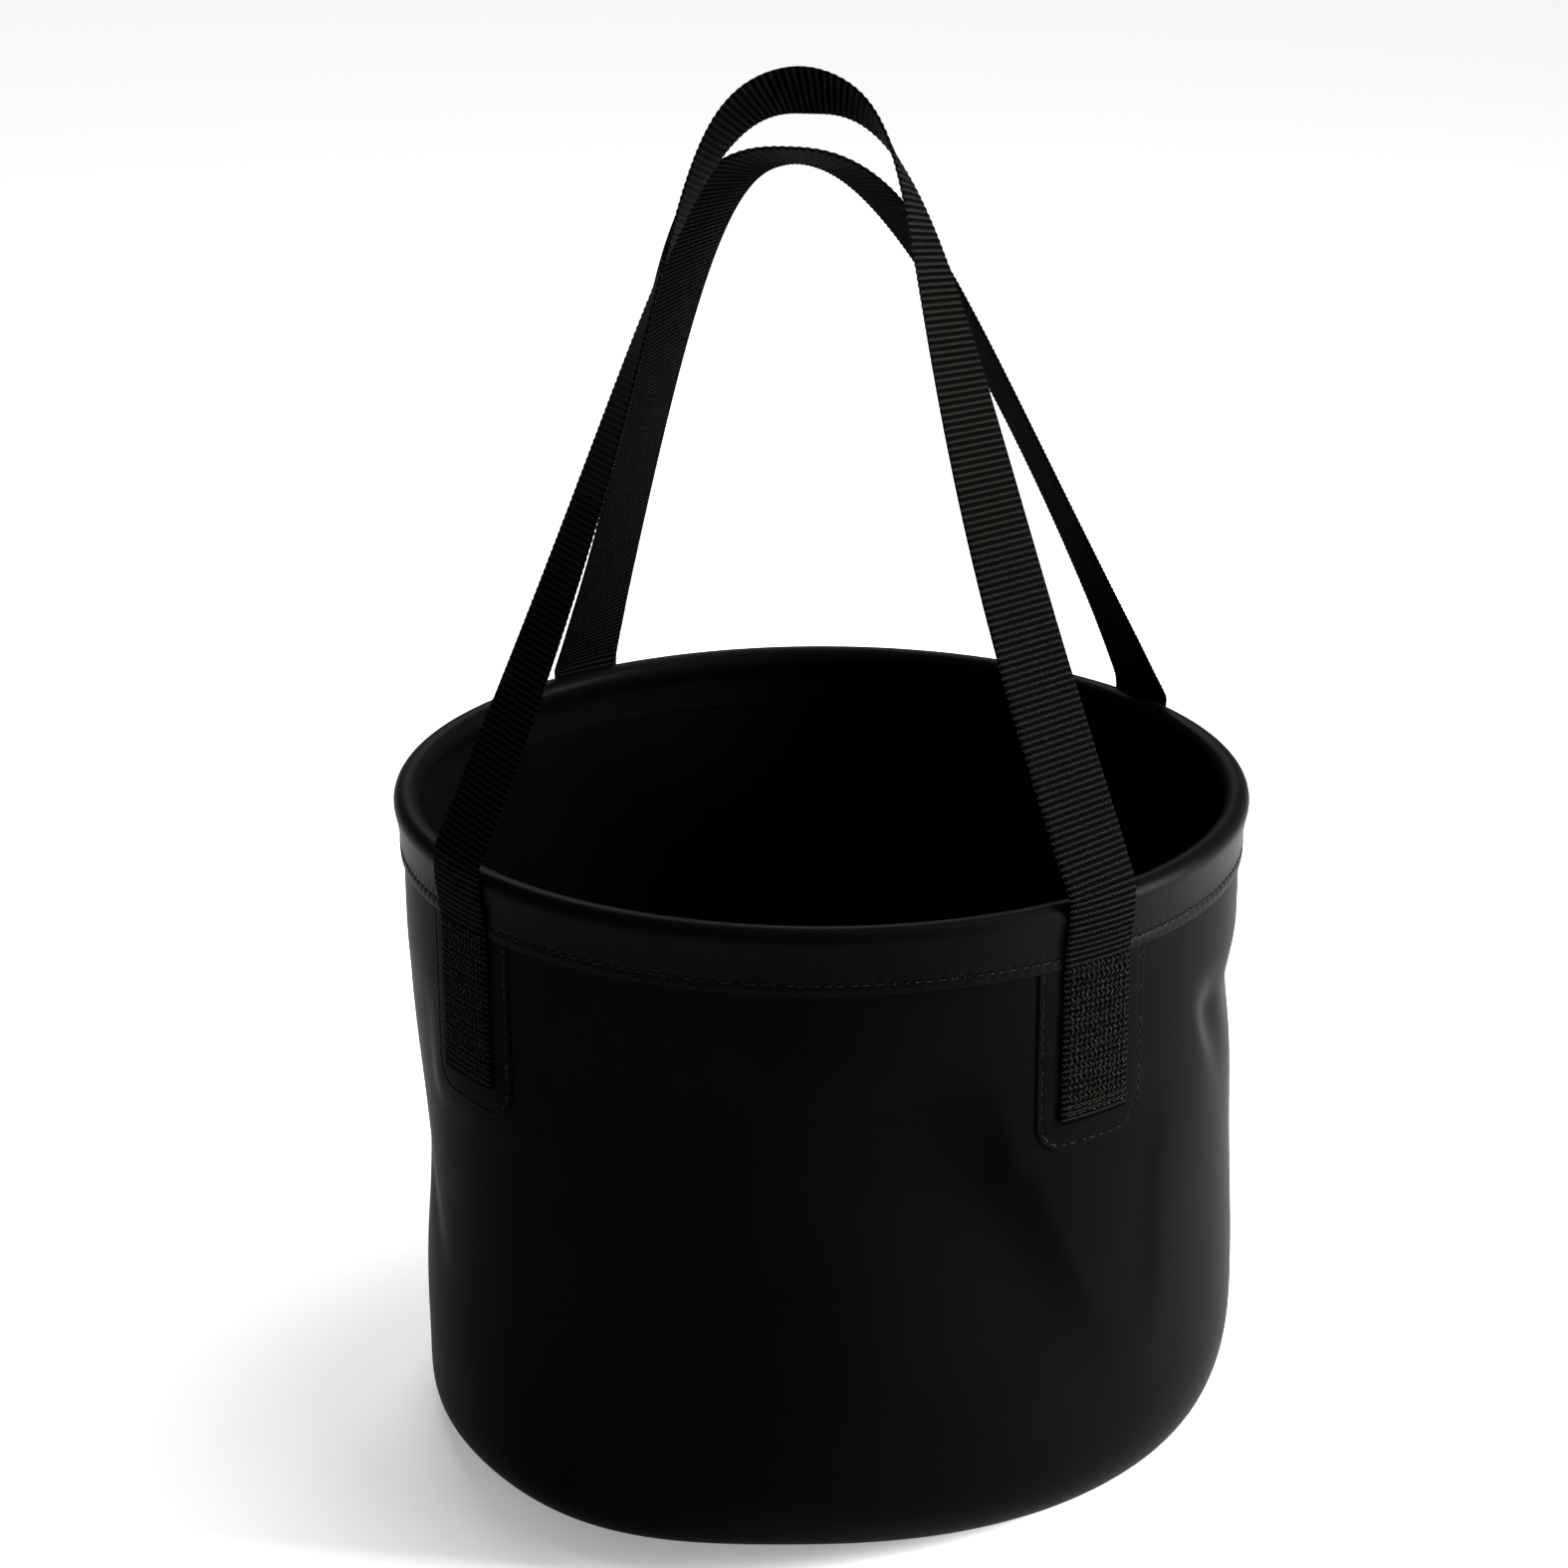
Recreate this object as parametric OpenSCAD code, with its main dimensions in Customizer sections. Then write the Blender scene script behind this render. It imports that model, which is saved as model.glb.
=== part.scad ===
// A soft, collapsible florist bucket: a coated-fabric body with a hooped, hemmed rim
// and two webbing carrying handles, each sewn to the outside of the wall at both ends.
// Millimetres. +Z is up, the floor is z = 0, and the front is towards -Y.

/* [Bucket] */
// Outside diameter over the rolled rim
rim_d = 330; // [260:1:420]
// Height of the rim above the floor
bucket_h = 260; // [200:1:340]
// Thickness of the coated fabric
sheet_t = 0.8; // [0.6:0.1:1.2]
// Outside radius of the soft bottom corner
base_corner_r = 40; // [25:1:55]
// How far the wall's outside sits inside the rim's outside
wall_set_in = 3; // [2:0.1:4]

/* [Rim] */
// Diameter of the stiffening hoop inside the rim
hoop_d = 8; // [6:0.5:10]
// How far the hem's lower edge is below the top of the rim
hem_drop = 25; // [20:1:32]

/* [Webbing] */
// Width of the webbing
web_w = 30; // [25:1:38]
// Thickness of the webbing
web_t = 1.6; // [1.2:0.1:2.2]
// How far each sewn strap end reaches below the top of the rim
sewn_drop = 85; // [70:1:100]
// Angle of each strap from the front-to-back line
strap_angle = 45; // [38:1:52]

/* [Patches] */
// Width of a reinforcing patch
patch_w = 50; // [44:1:60]
// How far a patch reaches below the top of the rim
patch_drop = 96; // [82:1:115]
// Radius of a patch's lower corners
patch_corner_r = 12; // [6:1:18]

/* [Front handle] */
// Length of the front loop from its fold line to its crown
front_rise = 281; // [220:1:340]
// Lean of the front loop towards the middle, in degrees
front_lean = 18; // [8:1:20]
// Reach of the front loop's level crown to each side
front_crown = 49; // [40:1:60]

/* [Rear handle] */
// Length of the rear loop from its fold line to its crown
rear_rise = 277; // [220:1:340]
// Lean of the rear loop towards the middle, in degrees
rear_lean = 29; // [10:1:32]
// Reach of the rear loop's level crown to each side
rear_crown = 34; // [28:1:50]
// How far the rear loop's crown sways towards +X
rear_sway = -7; // [-12:1:12]

/* [Stitching] */
// Width and height of a row of thread
thread_t = 0.6; // [0.4:0.1:0.8]
// Distance of each row from the edge that it holds
stitch_inset = 4; // [3:0.5:5]

/* [Hidden] */
$fn = 96;

gap = 0.3;                 // between pieces that move apart
seat = 0.1;                // between pieces that lie on each other
thread_lift = 0.02;        // between a row of thread and what it lies on
past = 1;                  // how far a cut runs past what it cuts
rim_r = rim_d / 2;
hoop_r = hoop_d / 2;
bead_r = hoop_r + seat + sheet_t;
bead_ring_r = rim_r - bead_r;
bead_z = bucket_h - bead_r;
wall_r = rim_r - wall_set_in;
wall_in_r = wall_r - sheet_t;
wall_top = bead_z - bead_r - gap;
hem_bottom = bucket_h - hem_drop;
flap_r = wall_r + gap + sheet_t;
flap_in_r = wall_in_r - gap - sheet_t;

// Angles of the four straps about +Z, from +X
front_left = -90 - strap_angle;
front_right = -90 + strap_angle;
rear_left = 90 + strap_angle;
rear_right = 90 - strap_angle;

// The strap end lies on the patch, then steps out over the rim
strap_low_r = flap_r + seat;
strap_top_r = rim_r + gap;
strap_step = 9;            // height over which it steps out
strap_step_z = bead_z - bead_r - strap_step;
fold_gap = 0.7;            // between a strap end and its loop
strap_top_z = bucket_h + 1.5;  // the fold stands just clear of the rim
loop_z = strap_top_z + fold_gap;
strap_mid_r = strap_top_r + web_t / 2;

// The loops: where their lines start, how they lean in, and how the webbing turns
loop_rings = 26;           // rings along each half of a loop
leg_in_share = 0.66;       // how far in a leg's curve aims, as a share of the half chord
leg_rise_share = 0.71;     // and how high, as a share of the rise
front_turn = 3;            // how soon the webbing turns to face along the loop
rear_turn = 1.5;
front_roll = -15;          // roll of the webbing at the crown, in degrees
rear_roll = -12;

// ---------- vectors and curves ----------

function unit(v) = v / norm(v);
function level(a) = [cos(a), sin(a), 0];
function across(v, t) = unit(v - t * (v * t));
function bezier(p, t) =
    pow(1 - t, 3) * p[0] + 3 * pow(1 - t, 2) * t * p[1]
    + 3 * (1 - t) * t * t * p[2] + pow(t, 3) * p[3];

// One half of a loop in its own plane, [sideways, upwards], for t from the fold line to the crown
function half_line(t, half_chord, rise, crown) = bezier([
    [half_chord, 0],
    [half_chord * (1 - leg_in_share), rise * leg_rise_share],
    [crown, rise],
    [0, rise]
], t);

// A point of the loop's middle line for s from -1 (left fold) to 1 (right fold), 0 at the crown
function loop_point(s, half_chord, rise, crown, sway) =
    let (
        p = half_line(1 - abs(s), half_chord, rise, crown),
        side = s < 0 ? -1 : 1
    )
    [side * p[0] + sway * pow(p[1] / rise, 2), p[1]];

// The four corners of the webbing's section
function section(at, wide, thin) = [
    at + wide * web_w / 2 + thin * web_t / 2,
    at - wide * web_w / 2 + thin * web_t / 2,
    at - wide * web_w / 2 - thin * web_t / 2,
    at + wide * web_w / 2 - thin * web_t / 2
];

// The angle about the direction t that takes the vector a to the line of b
function turn_to(a, b, t) =
    let (raw = atan2(b * cross(t, a), b * a))
    raw > 90 ? raw - 180 : raw < -90 ? raw + 180 : raw;

// ---------- the body ----------

module base_panel() {
    color("#141414")
        rotate_extrude($fn = 180) intersection() {
            difference() {
                union() {
                    square([wall_r - base_corner_r, sheet_t]);
                    translate([wall_r - base_corner_r, base_corner_r]) circle(base_corner_r);
                }
                translate([wall_r - base_corner_r, base_corner_r]) circle(base_corner_r - sheet_t);
                translate([0, sheet_t]) square([wall_r - base_corner_r, 2 * base_corner_r]);
            }
            square([wall_r, base_corner_r]);
        }
}

module wall_panel() {
    color("#161616") difference() {
        translate([0, 0, base_corner_r]) cylinder(r = wall_r, h = wall_top - base_corner_r);
        translate([0, 0, base_corner_r - past])
            cylinder(r = wall_in_r, h = wall_top - base_corner_r + 2 * past);
    }
}

// ---------- the rim ----------

module rim_hoop() {
    color("#202020")
        rotate_extrude($fn = 180) translate([bead_ring_r, bead_z]) circle(hoop_r, $fn = 32);
}

// One strip folded over the hoop, with a flap on each side of the wall
module rim_hem() {
    color("#181818") rotate_extrude($fn = 180) difference() {
        union() {
            translate([bead_ring_r, bead_z]) circle(bead_r, $fn = 40);
            translate([flap_in_r, hem_bottom]) square([flap_r - flap_in_r, bead_z - hem_bottom]);
        }
        translate([bead_ring_r, bead_z]) circle(hoop_r + seat, $fn = 40);
        translate([wall_in_r - gap, hem_bottom - past])
            square([sheet_t + 2 * gap, wall_top + gap - hem_bottom + past]);
    }
}

// The hem's row of stitches, on the outside
module hem_stitching() {
    color("#2a2a2a") difference() {
        translate([0, 0, hem_bottom + stitch_inset]) cylinder(r = flap_r + thread_t, h = thread_t);
        translate([0, 0, hem_bottom + stitch_inset - past])
            cylinder(r = flap_r + thread_lift, h = thread_t + 2 * past);
        for (a = [front_left, front_right, rear_left, rear_right])
            rotate(a) translate([0, -web_w / 2 - past, hem_bottom])
                cube([rim_r, web_w + 2 * past, hem_drop]);
    }
}

// ---------- the patches ----------

// A patch's outline, seen from outside, with its top at the hem: [sideways, upwards]
module patch_outline(inset) {
    low = bucket_h - patch_drop + inset;
    top = hem_bottom - 2 * seat;
    half = patch_w / 2 - inset;
    r = patch_corner_r - inset;
    translate([-half, low + r]) square([2 * half, top - low - r]);
    translate([-half + r, low]) square([2 * half - 2 * r, r + past]);
    for (side = [-1, 1])
        translate([side * (half - r), low + r]) circle(r, $fn = 40);
}

// What of a ring round the wall lies inside the outline given as the child
module on_wall(a, inner_r, outer_r) {
    rotate(a) intersection() {
        difference() {
            cylinder(r = outer_r, h = bucket_h);
            translate([0, 0, -past]) cylinder(r = inner_r, h = bucket_h + 2 * past);
        }
        rotate([90, 0, 90]) linear_extrude(rim_r) children();
    }
}

module patch(a) {
    color("#151515") on_wall(a, wall_r + gap, flap_r) patch_outline(0);
}

// A row of thread round the patch's sides and bottom, which ends below the hem
module patch_stitching(a) {
    color("#2a2a2a") on_wall(a, flap_r + thread_lift, flap_r + thread_t) difference() {
        patch_outline(stitch_inset);
        patch_outline(stitch_inset + thread_t);
        translate([-patch_w, hem_bottom - stitch_inset]) square([2 * patch_w, bucket_h]);
    }
}

// ---------- the strap ends ----------

module strap_end(a) {
    low = bucket_h - sewn_drop;
    outline = [
        [strap_low_r, low],
        [strap_low_r, strap_step_z],
        [strap_top_r, strap_step_z + strap_step],
        [strap_top_r, strap_top_z],
        [strap_top_r + web_t, strap_top_z],
        [strap_top_r + web_t, strap_step_z + strap_step],
        [strap_low_r + web_t, strap_step_z],
        [strap_low_r + web_t, low]
    ];
    color("#1e1b1a")
        rotate(a) translate([0, web_w / 2, 0]) rotate([90, 0, 0]) linear_extrude(web_w) polygon(outline);
}

// A sewn box with a cross, on the outside of a strap end
module strap_stitching(a) {
    low = bucket_h - sewn_drop + stitch_inset;
    wide = web_w - 2 * stitch_inset;
    tall = strap_step_z - stitch_inset - low;
    slope = atan2(tall, wide);
    length = norm([wide, tall]) - 2 * thread_t;
    color("#2c2927") rotate(a) translate([strap_low_r + web_t + thread_lift, 0, 0])
        rotate([90, 0, 90]) linear_extrude(thread_t) {
            difference() {
                translate([-wide / 2, low]) square([wide, tall]);
                translate([-wide / 2 + thread_t, low + thread_t])
                    square([wide - 2 * thread_t, tall - 2 * thread_t]);
            }
            for (side = [-1, 1])
                translate([0, low + tall / 2]) rotate(side * slope)
                    translate([-length / 2, -thread_t / 2]) square([length, thread_t]);
        }
}

// ---------- the handles ----------

// A webbing loop. facing is -1 at the front and 1 at the rear
module loop(facing, rise, lean, crown, sway, turn, roll) {
    half_chord = strap_mid_r * sin(strap_angle);
    start = [0, facing * strap_mid_r * cos(strap_angle), loop_z];
    up = [0, -facing * sin(lean), cos(lean)];
    depth = [0, facing * cos(lean), sin(lean)];
    s = [for (k = [-loop_rings:loop_rings]) k / loop_rings];
    line = [for (x = s)
        let (p = loop_point(x, half_chord, rise, crown, sway))
        start + [p[0], 0, 0] + up * p[1]];
    last = len(s) - 1;
    along = [for (k = [0:last]) unit(line[min(k + 1, last)] - line[max(k - 1, 0)])];
    // The webbing's width starts along the rim and turns to lie across the loop at its crown
    outward = [for (k = [0:last]) level(facing * 90 - facing * strap_angle * (s[k] < 0 ? -1 : 1))];
    rim_way = [for (k = [0:last]) cross([0, 0, 1], outward[k])];
    flat = [for (k = [0:last]) across(depth, along[k])];
    at_fold = [for (k = [0, last]) turn_to(flat[k], across(rim_way[k], along[k]), along[k])];
    angle = [for (k = [0:last])
        at_fold[s[k] < 0 ? 0 : 1] * (1 - pow(1 - abs(s[k]), turn)) + roll * pow(1 - s[k] * s[k], 2)];
    wide = [for (k = [0:last]) flat[k] * cos(angle[k]) + cross(along[k], flat[k]) * sin(angle[k])];
    // Both end rings lie level and along the rim, to meet the sewn strap ends squarely
    ring_wide = [for (k = [0:last])
        k == 0 || k == last ? rim_way[k] * sign(rim_way[k] * wide[k]) : wide[k]];
    ring_way = [for (k = [0:last]) k == 0 || k == last ? [0, 0, sign(along[k][2])] : along[k]];
    rings = [for (k = [0:last]) section(line[k], ring_wide[k], cross(ring_way[k], ring_wide[k]))];
    sides = [for (k = [0:last - 1]) for (c = [0:3])
        let (n = (c + 1) % 4)
        each [
            [4 * k + c, 4 * k + n, 4 * k + 4 + n],
            [4 * k + c, 4 * k + 4 + n, 4 * k + 4 + c]
        ]];
    ends = [
        [0, 3, 2], [0, 2, 1],
        [4 * last, 4 * last + 1, 4 * last + 2], [4 * last, 4 * last + 2, 4 * last + 3]
    ];
    polyhedron([for (r = rings) each r], concat(sides, ends), convexity = 10);
}

module front_handle() {
    color("#221f1d") loop(-1, front_rise, front_lean, front_crown, 0, front_turn, front_roll);
}

module rear_handle() {
    color("#221f1d") loop(1, rear_rise, rear_lean, rear_crown, rear_sway, rear_turn, rear_roll);
}

// ---------- the nodes ----------

base_panel();
wall_panel();
rim_hoop();
rim_hem();
hem_stitching();
patch(front_left);  // front_left_patch
patch(front_right);  // front_right_patch
patch(rear_left);  // rear_left_patch
patch(rear_right);  // rear_right_patch
patch_stitching(front_left);  // front_left_patch_stitching
patch_stitching(front_right);  // front_right_patch_stitching
patch_stitching(rear_left);  // rear_left_patch_stitching
patch_stitching(rear_right);  // rear_right_patch_stitching
strap_end(front_left);  // front_left_strap_end
strap_end(front_right);  // front_right_strap_end
strap_end(rear_left);  // rear_left_strap_end
strap_end(rear_right);  // rear_right_strap_end
strap_stitching(front_left);  // front_left_strap_stitching
strap_stitching(front_right);  // front_right_strap_stitching
strap_stitching(rear_left);  // rear_left_strap_stitching
strap_stitching(rear_right);  // rear_right_strap_stitching
front_handle();
rear_handle();
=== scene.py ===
"""The looks of a soft, collapsible florist bucket: black coated fabric, a hooped hem and two webbing handles.

Everything is in metres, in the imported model's frame: +Z up, the floor at z = 0, the front towards -Y.
Angles round the bucket are in degrees about +Z, from +X.
"""

import math

import bmesh
import bpy
import numpy as np
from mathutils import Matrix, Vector


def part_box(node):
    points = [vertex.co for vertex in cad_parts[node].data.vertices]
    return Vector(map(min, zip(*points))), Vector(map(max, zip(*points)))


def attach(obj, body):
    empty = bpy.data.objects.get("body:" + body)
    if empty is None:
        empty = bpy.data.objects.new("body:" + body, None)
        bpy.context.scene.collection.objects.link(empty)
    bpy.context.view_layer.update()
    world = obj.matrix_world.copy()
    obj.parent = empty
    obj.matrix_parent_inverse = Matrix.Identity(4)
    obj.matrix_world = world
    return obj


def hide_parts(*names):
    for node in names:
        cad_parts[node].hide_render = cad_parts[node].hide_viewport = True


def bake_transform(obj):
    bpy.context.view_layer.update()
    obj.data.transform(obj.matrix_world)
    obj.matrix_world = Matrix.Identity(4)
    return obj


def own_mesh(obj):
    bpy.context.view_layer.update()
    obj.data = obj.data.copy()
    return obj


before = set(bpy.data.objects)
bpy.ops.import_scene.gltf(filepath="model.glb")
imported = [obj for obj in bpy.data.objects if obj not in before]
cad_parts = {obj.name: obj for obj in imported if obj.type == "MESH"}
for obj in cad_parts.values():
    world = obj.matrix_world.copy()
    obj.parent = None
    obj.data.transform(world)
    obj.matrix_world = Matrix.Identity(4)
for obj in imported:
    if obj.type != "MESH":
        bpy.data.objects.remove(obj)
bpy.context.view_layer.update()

# ---------- sizes, from the frame where it has them ----------

SHEET = 0.0008
GAP = 0.0003
hem_low, hem_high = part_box("rim_hem")
RIM_R = hem_high.x
RIM_TOP = hem_high.z
HEM_FOOT = hem_low.z
hoop_low, hoop_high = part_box("rim_hoop")
BEAD_Z = (hoop_high.z + hoop_low.z) / 2
BEAD_R = RIM_TOP - BEAD_Z
BEAD_RING_R = RIM_R - BEAD_R
wall_low, wall_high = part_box("wall_panel")
WALL_R = wall_high.x
WALL_FOOT = wall_low.z
WALL_TOP = wall_high.z
FLAP_R = WALL_R + GAP + SHEET
FLAP_IN_R = WALL_R - 2 * SHEET - GAP
PATCH_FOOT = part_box("front_left_patch")[0].z
PATCH_W = 0.050
PATCH_CORNER_R = 0.012
STRAP_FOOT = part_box("front_left_strap_end")[0].z
STRAP_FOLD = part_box("front_left_strap_end")[1].z
WEB_W = 0.031
WEB_T = 0.0016
STRAP_SEAT_R = FLAP_R + 0.0001 + WEB_T / 2
STRAP_TOP_R = RIM_R + GAP + WEB_T / 2
STRAP_ANGLE = 45
CORNERS = {
    "front_left": -90 - STRAP_ANGLE,
    "front_right": -90 + STRAP_ANGLE,
    "rear_left": 90 + STRAP_ANGLE,
    "rear_right": 90 - STRAP_ANGLE,
}

# Each loop's shape: angles in degrees, lengths in metres, and the legs as shares of the half chord and rise.
# A separate program fitted these to the photo's outline, and most were then only rounded.
FRONT_LOOP = {
    "facing": -1, "rise": 0.277, "lean": 15.2, "crown": 0.0495, "leg_in": 0.658, "leg_rise": 0.726,
    "sway": 0.0005, "turn": 1.26, "roll": -27, "left_twist": -1.3, "right_twist": 7.8,
}
REAR_LOOP = {
    "facing": 1, "rise": 0.2745, "lean": 29.3, "crown": 0.0365, "leg_in": 0.612, "leg_rise": 0.850,
    "sway": -0.0085, "turn": 0.75, "roll": -49, "left_twist": 9.2, "right_twist": 6,
}
LOOP_FOOT = STRAP_FOLD + 0.0007

# Spacings of the stitches, of the webbing's ribs, and of the yarns across each rib
STITCH = 0.0045
RIB = 0.0024
YARN = 0.00125

# The azimuths of the bucket's sides as the main view shows them. The camera stands at FACING.
VIEW_AZIMUTH = 8
RIGHT = VIEW_AZIMUTH
LEFT = VIEW_AZIMUTH + 180
FACING = VIEW_AZIMUTH - 90
BEHIND = VIEW_AZIMUTH + 90

rng = np.random.default_rng(7)


# ---------- helpers ----------


def ease(x, start, end):
    """0 before start, 1 after end, and smooth between them. end may be the lower one."""
    t = np.clip((x - start) / (end - start), 0, 1)
    return t * t * (3 - 2 * t)


def angle_from(theta, degrees):
    """The angle from a direction round the bucket, in radians, between -pi and pi."""
    return (theta - np.radians(degrees) + math.pi) % (2 * math.pi) - math.pi


def near_angle(theta, degrees, spread):
    """1 at an angle round the bucket, fading with the angle from it."""
    return np.exp(-((angle_from(theta, degrees) / np.radians(spread)) ** 2))


def near_level(z, level, spread):
    """1 at a height, fading with the distance from it."""
    return np.exp(-(((z - level) / spread) ** 2))


def unit(v):
    return v / np.linalg.norm(v, axis=-1, keepdims=True)


def outward(degrees):
    a = math.radians(degrees)
    return np.array([math.cos(a), math.sin(a), 0.0])


def ring_points(radius, theta, z):
    """Points at a radius, an angle in radians and a height, which may be arrays."""
    radius, theta, z = np.broadcast_arrays(radius, theta, z)
    return np.stack([radius * np.cos(theta), radius * np.sin(theta), z], -1)


def grid_faces(rows, cols, wrap_rows=False, wrap_cols=False):
    i, j = np.meshgrid(
        np.arange(rows if wrap_rows else rows - 1),
        np.arange(cols if wrap_cols else cols - 1),
        indexing="ij",
    )
    down, right = (i + 1) % rows, (j + 1) % cols
    corners = [i * cols + j, i * cols + right, down * cols + right, down * cols + j]
    return np.stack(corners, -1).reshape(-1, 4)


def new_piece(name, points, faces, material, sharp=40):
    """A smooth-shaded mesh with its faces turned outwards and its hard edges kept."""
    mesh = bpy.data.meshes.new(name)
    mesh.from_pydata(np.asarray(points).reshape(-1, 3).tolist(), [], [list(map(int, f)) for f in faces])
    work = bmesh.new()
    work.from_mesh(mesh)
    bmesh.ops.recalc_face_normals(work, faces=work.faces)
    work.to_mesh(mesh)
    work.free()
    mesh.materials.append(material)
    mesh.shade_smooth()
    mesh.set_sharp_from_angle(angle=math.radians(sharp))
    piece = bpy.data.objects.new(name, mesh)
    bpy.context.scene.collection.objects.link(piece)
    return piece


def surface_normals(grid, wrap):
    """Unit normals of a grid of points. Its columns may close into a ring."""
    along_rows = np.gradient(grid, axis=0)
    if wrap:
        along_cols = np.roll(grid, -1, axis=1) - np.roll(grid, 1, axis=1)
    else:
        along_cols = np.gradient(grid, axis=1)
    return unit(np.cross(along_cols, along_rows))


def sheet_faces(rows, cols, wrap):
    """Faces of a closed thin sheet: one grid, the same grid behind it, and the edges between them."""
    count = rows * cols
    front = grid_faces(rows, cols, wrap_cols=wrap)
    index = np.arange(count).reshape(rows, cols)
    if wrap:
        borders = [np.append(index[0], index[0, 0]), np.append(index[-1], index[-1, 0])]
    else:
        borders = [np.concatenate([index[0], index[1:, -1], index[-1, -2::-1], index[-2::-1, 0]])]
    edges = [np.stack([b[:-1], b[1:], b[1:] + count, b[:-1] + count], -1) for b in borders]
    return np.concatenate([front, front[:, ::-1] + count, *edges])


# ---------- materials ----------


def new_material(name):
    material = bpy.data.materials.new(name)
    material.use_nodes = True
    nodes = material.node_tree.nodes
    return material, nodes, material.node_tree.links, nodes["Principled BSDF"]


def mapped(nodes, links, value, low, high):
    """A value from 0..1 taken to low..high."""
    node = nodes.new("ShaderNodeMapRange")
    node.inputs["To Min"].default_value = low
    node.inputs["To Max"].default_value = high
    links.new(value, node.inputs["Value"])
    return node.outputs["Result"]


def noise(nodes, links, scale, detail=3, rough=0.55, stretch=(1, 1, 1)):
    """Noise in the object's own coordinates."""
    coordinates = nodes.new("ShaderNodeTexCoord")
    mapping = nodes.new("ShaderNodeMapping")
    mapping.inputs["Scale"].default_value = stretch
    texture = nodes.new("ShaderNodeTexNoise")
    texture.inputs["Scale"].default_value = scale
    texture.inputs["Detail"].default_value = detail
    texture.inputs["Roughness"].default_value = rough
    links.new(coordinates.outputs["Object"], mapping.inputs["Vector"])
    links.new(mapping.outputs["Vector"], texture.inputs["Vector"])
    return texture.outputs["Fac"]


def colour_ramp(nodes, links, value, low, high):
    """A colour that goes from one (position, colour) to another as the value rises."""
    ramp = nodes.new("ShaderNodeValToRGB")
    links.new(value, ramp.inputs["Fac"])
    for stop, (position, colour) in zip(ramp.color_ramp.elements, (low, high)):
        stop.position = position
        stop.color = (*colour, 1)
    return ramp.outputs["Color"]


def bumps(nodes, links, shader, layers):
    """Bump nodes in a chain, from (height, strength, distance)."""
    last = None
    for height, strength, distance in layers:
        bump = nodes.new("ShaderNodeBump")
        bump.inputs["Strength"].default_value = strength
        bump.inputs["Distance"].default_value = distance
        links.new(height, bump.inputs["Height"])
        if last:
            links.new(last.outputs["Normal"], bump.inputs["Normal"])
        last = bump
    links.new(last.outputs["Normal"], shader.inputs["Normal"])


def math_node(nodes, links, operation, *values):
    """A Math node's result, from numbers or other nodes' outputs."""
    node = nodes.new("ShaderNodeMath")
    node.operation = operation
    for k, value in enumerate(values):
        if isinstance(value, (int, float)):
            node.inputs[k].default_value = value
        else:
            links.new(value, node.inputs[k])
    return node.outputs["Value"]


def coated_fabric(name, tint, gloss, roughness):
    """Matte black PVC: a fine leathery grain over a faint woven core, duller in some patches."""
    material, nodes, links, shader = new_material(name)
    patches = noise(nodes, links, 9, 4)
    grain = noise(nodes, links, 1500, 2, 0.6)
    weave = noise(nodes, links, 420, 2, 0.5, (1, 1, 1.6))
    dark = tuple(c * tint for c in (0.0009, 0.0010, 0.0010))
    light = tuple(c * tint for c in (0.0018, 0.0019, 0.0019))
    links.new(colour_ramp(nodes, links, patches, (0.3, dark), (0.7, light)), shader.inputs["Base Color"])
    rough = mapped(nodes, links, patches, roughness - 0.05, roughness + 0.05)
    links.new(rough, shader.inputs["Roughness"])
    shader.inputs["Specular IOR Level"].default_value = gloss
    bumps(nodes, links, shader, [(weave, 0.10, 0.0002), (grain, 0.16, 0.0001)])
    return material


def webbing():
    """Warm black webbing. The mesh has the ribs, and the map gives their yarns and their colour, which is
    painted shade in the gaps between the ribs and painted highlights on the yarn beads.
    """
    material, nodes, links, shader = new_material("webbing")

    def calc(operation, *values):
        return math_node(nodes, links, operation, *values)

    place = nodes.new("ShaderNodeUVMap")
    place.uv_map = "webbing_map"
    parts = nodes.new("ShaderNodeSeparateXYZ")
    links.new(place.outputs["UV"], parts.inputs["Vector"])
    # Every second rib has its yarns half a yarn further across
    ribs = calc("DIVIDE", parts.outputs["X"], RIB)
    odd = calc("MODULO", calc("FLOOR", ribs), 2.0)
    yarns = calc("ADD", calc("DIVIDE", parts.outputs["Y"], YARN), calc("MULTIPLY", odd, 0.5))
    yarn = calc("MULTIPLY_ADD", calc("SINE", calc("MULTIPLY", yarns, 2 * math.pi)), 0.5, 0.5)
    rib_wave = calc("MULTIPLY_ADD", calc("COSINE", calc("MULTIPLY", ribs, 2 * math.pi)), 0.5, 0.5)
    bead = calc("MULTIPLY", calc("MULTIPLY_ADD", yarn, 0.85, 0.15), calc("POWER", rib_wave, 1.8))
    fuzz = noise(nodes, links, 900, 3, 0.6)
    # Painted light: the colour is painted shade in the gaps between ribs and yarns, and painted highlights on
    # the yarn beads
    shade = calc("MULTIPLY", bead, calc("MULTIPLY", fuzz, 2.0))
    painted_shade_in_gaps = (0.10, (0.0003, 0.0003, 0.0003))
    painted_highlight_on_beads = (0.9, (0.0140, 0.0126, 0.0106))
    links.new(colour_ramp(nodes, links, shade, painted_shade_in_gaps, painted_highlight_on_beads), shader.inputs["Base Color"])
    shader.inputs["Roughness"].default_value = 0.62
    shader.inputs["Specular IOR Level"].default_value = 0.002
    bumps(nodes, links, shader, [(bead, 0.9, 0.0007)])
    return material


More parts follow.
